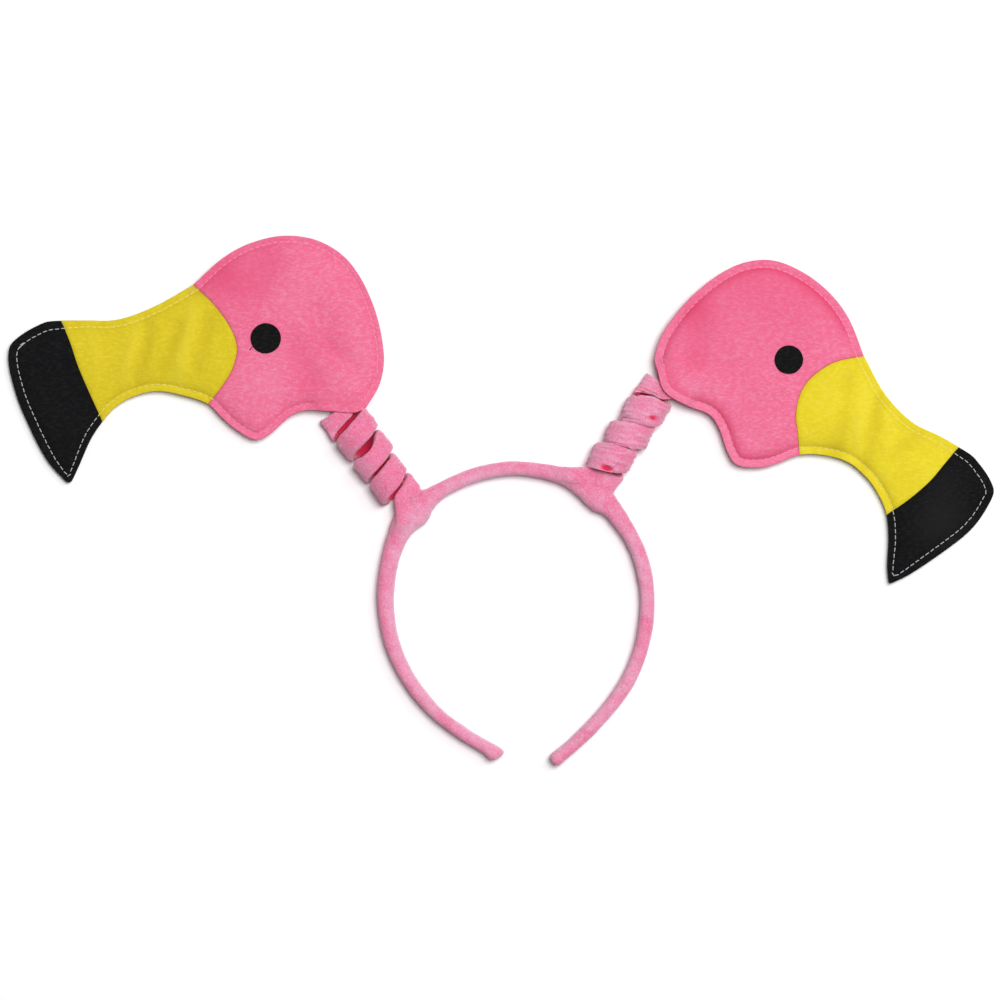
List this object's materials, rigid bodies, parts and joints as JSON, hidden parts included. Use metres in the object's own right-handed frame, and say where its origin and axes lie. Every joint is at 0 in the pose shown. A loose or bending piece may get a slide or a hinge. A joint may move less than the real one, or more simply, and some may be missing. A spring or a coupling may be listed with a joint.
{
  "type": "flamingo head bopper",
  "caption": "Padded velour headband, open at the nape, with sleeved coil springs that carry flat stitched felt flamingo heads.",
  "frame": {"origin": "middle of the underside of the whole, which lies on the table", "axes": "+X to the wearer's left as seen from the front, +Y up the head, +Z to the front, away from the table"},
  "size_m": [0.4614, 0.2476, 0.0206],
  "materials": {
    "velour_pink": "short pile",
    "felt_pink": "matte felt",
    "felt_yellow": "matte felt",
    "felt_black": "matte felt",
    "thread": "sewing thread"
  },
  "bodies": {
    "root": {"headband": "velour_pink", "left_wrap": "velour_pink", "left_spring": "velour_pink", "left_face_front": "felt_pink", "left_face_back": "felt_pink", "left_beak_front": "felt_yellow", "left_beak_back": "felt_yellow", "left_tip_front": "felt_black", "left_tip_back": "felt_black", "left_eye": "felt_black", "right_wrap": "velour_pink", "right_spring": "velour_pink", "right_face_front": "felt_pink", "right_face_back": "felt_pink", "right_beak_front": "felt_yellow", "right_beak_back": "felt_yellow", "right_tip_front": "felt_black", "right_tip_back": "felt_black", "right_eye": "felt_black"}
  },
  "joints": []
}
